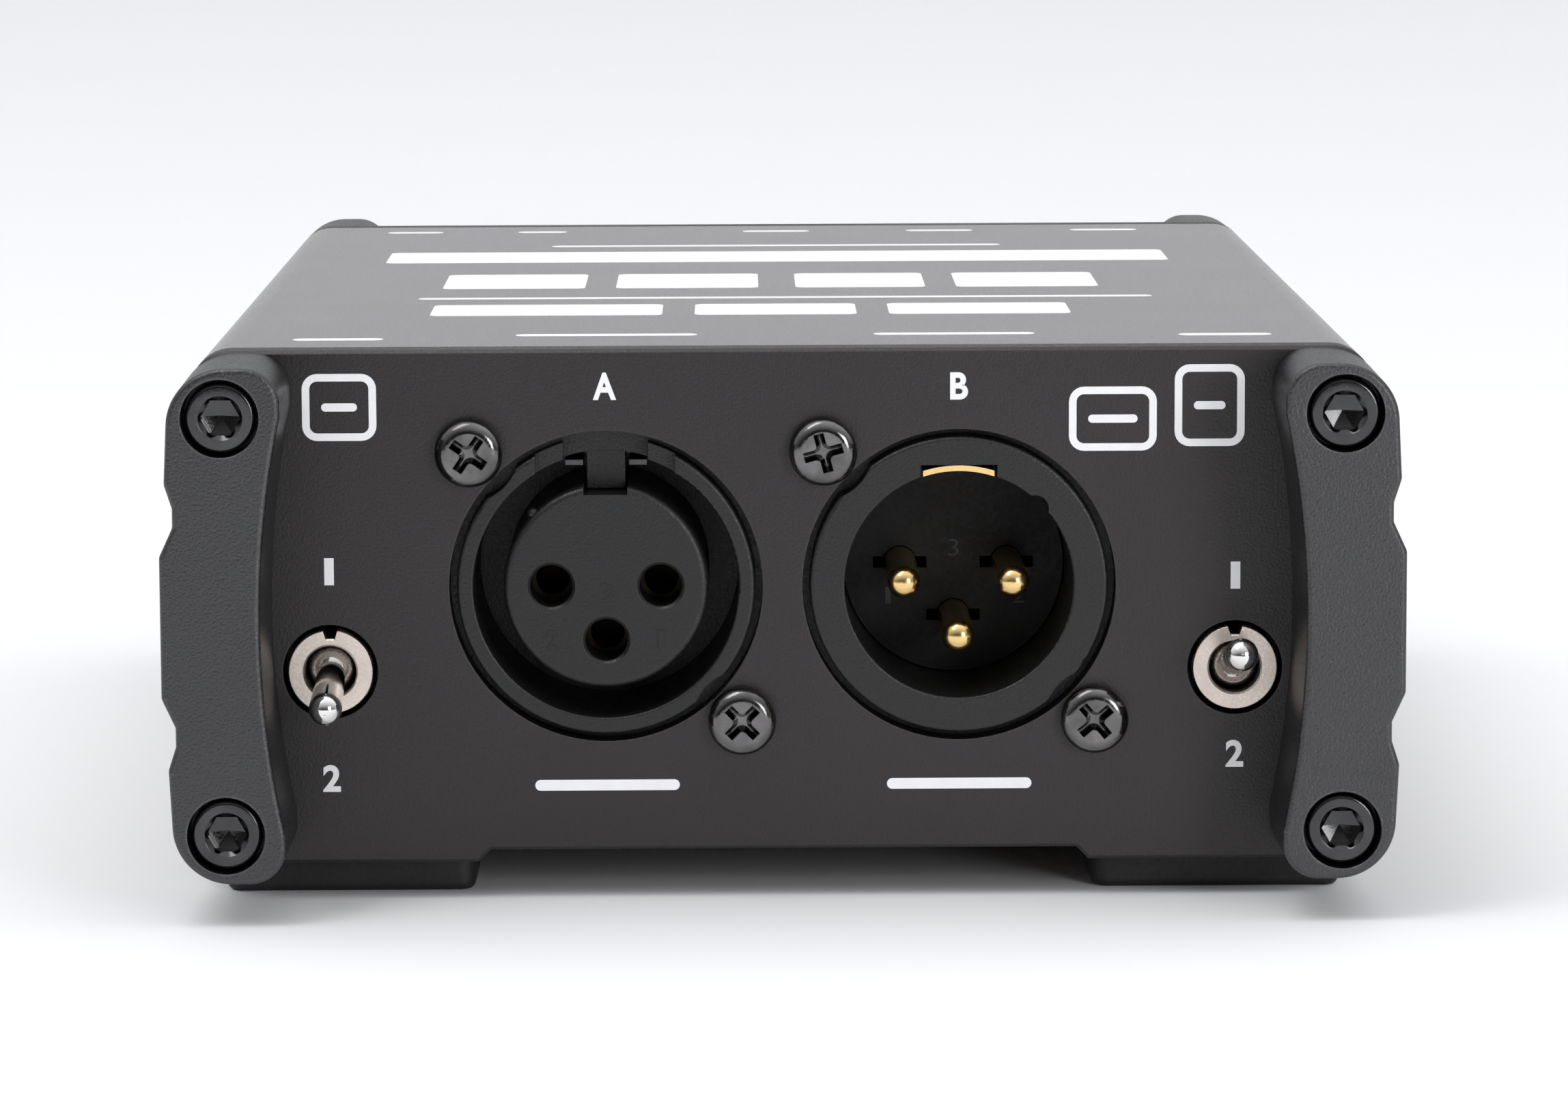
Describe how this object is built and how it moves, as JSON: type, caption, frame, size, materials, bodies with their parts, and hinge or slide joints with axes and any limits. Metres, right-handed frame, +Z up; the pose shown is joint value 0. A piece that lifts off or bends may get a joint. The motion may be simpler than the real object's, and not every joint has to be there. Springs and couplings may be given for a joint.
{
  "type": "direct injection box",
  "caption": "Passive audio direct box: XLR sockets and toggle switches at the front between corner bumpers, jack and phono sockets at the rear.",
  "frame": {"origin": "on the surface the box stands on, under the middle of the enclosure", "axes": "+X right and +Z up as seen from the front (XLR) panel, +Y from the front panel to the rear panel"},
  "size_m": [0.089, 0.1356, 0.0405],
  "materials": {
    "black_aluminium": "satin black anodised",
    "bumper_aluminium": "fine bead-blasted black, slightly lighter than the panel",
    "black_steel": "blackened",
    "black_nickel": "black nickel",
    "nickel": "bright nickel",
    "chrome_lever": "bright",
    "foot_rubber": "matte black",
    "connector_plastic": "satin black glass-filled nylon",
    "insert_plastic": "matte black",
    "contact_gold": "gold plated",
    "contact_tin": "tin plated",
    "board_laminate": "green solder mask on glass laminate",
    "insulator_red": "moulded red",
    "insulator_white": "moulded white",
    "core_steel": "laminated nickel steel",
    "bobbin_plastic": "black nylon",
    "winding_tape": "yellow polyester tape over enamelled copper",
    "resistor_body": "blue lacquered metal film",
    "capacitor_body": "dark red film box"
  },
  "bodies": {
    "chassis": {"sleeve": "black_aluminium", "front_panel": "black_aluminium", "rear_panel": "black_aluminium", "bumper_front_left": "bumper_aluminium", "bumper_front_right": "bumper_aluminium", "bumper_rear_left": "bumper_aluminium", "bumper_rear_right": "bumper_aluminium", "bumper_screws_front": "black_steel", "bumper_screws_rear": "black_steel", "foot_front_left": "foot_rubber", "foot_front_right": "foot_rubber", "foot_rear_left": "foot_rubber", "foot_rear_right": "foot_rubber", "main_board": "board_laminate", "xlr_in_shell": "connector_plastic", "xlr_in_insert": "insert_plastic", "xlr_in_contacts": "contact_tin", "xlr_in_retainer": "black_steel", "xlr_in_screws": "black_nickel", "xlr_out_shell": "connector_plastic", "xlr_out_insert": "insert_plastic", "xlr_out_pins": "contact_gold", "xlr_out_ground_spring": "contact_gold", "xlr_out_screws": "black_nickel", "input_jack_body": "insert_plastic", "input_jack_nut": "nickel", "input_jack_contacts": "contact_tin", "thru_jack_body": "insert_plastic", "thru_jack_nut": "nickel", "thru_jack_contacts": "contact_tin", "mini_jack_body": "insert_plastic", "mini_jack_nut": "nickel", "mini_jack_contacts": "contact_tin", "phono_housing": "insert_plastic", "phono_barrels": "nickel", "phono_insulator_lower": "insulator_red", "phono_insulator_upper": "insulator_white", "phono_contacts": "contact_tin", "transformer_core": "core_steel", "transformer_bobbin": "bobbin_plastic", "transformer_winding": "winding_tape", "transformer_bracket": "contact_tin", "transformer_screws": "nickel", "resistors": "resistor_body", "capacitors": "capacitor_body", "ground_clip": "contact_tin", "select_switch_bushing": "nickel", "select_switch_body": "insert_plastic", "select_switch_terminals": "contact_tin", "lift_switch_bushing": "nickel", "lift_switch_body": "insert_plastic", "lift_switch_terminals": "contact_tin", "pad_switch_bushing": "nickel", "pad_switch_body": "insert_plastic", "pad_switch_terminals": "contact_tin"},
    "select_lever": {"select_switch_lever": "chrome_lever"},
    "lift_lever": {"lift_switch_lever": "chrome_lever"},
    "pad_lever": {"pad_switch_lever": "chrome_lever"}
  },
  "joints": [
    {"name": "select_tilt", "type": "hinge", "parent": "chassis", "child": "select_lever", "pos_m": [-0.0331, -0.0548, 0.0169], "axis": [1, 0, 0], "range_deg": [-25, 0]},
    {"name": "lift_tilt", "type": "hinge", "parent": "chassis", "child": "lift_lever", "pos_m": [0.0331, -0.0548, 0.0169], "axis": [1, 0, 0], "range_deg": [0, 25]},
    {"name": "pad_tilt", "type": "hinge", "parent": "chassis", "child": "pad_lever", "pos_m": [-0.0321, 0.0548, 0.0169], "axis": [1, 0, 0], "range_deg": [-25, 0]}
  ]
}
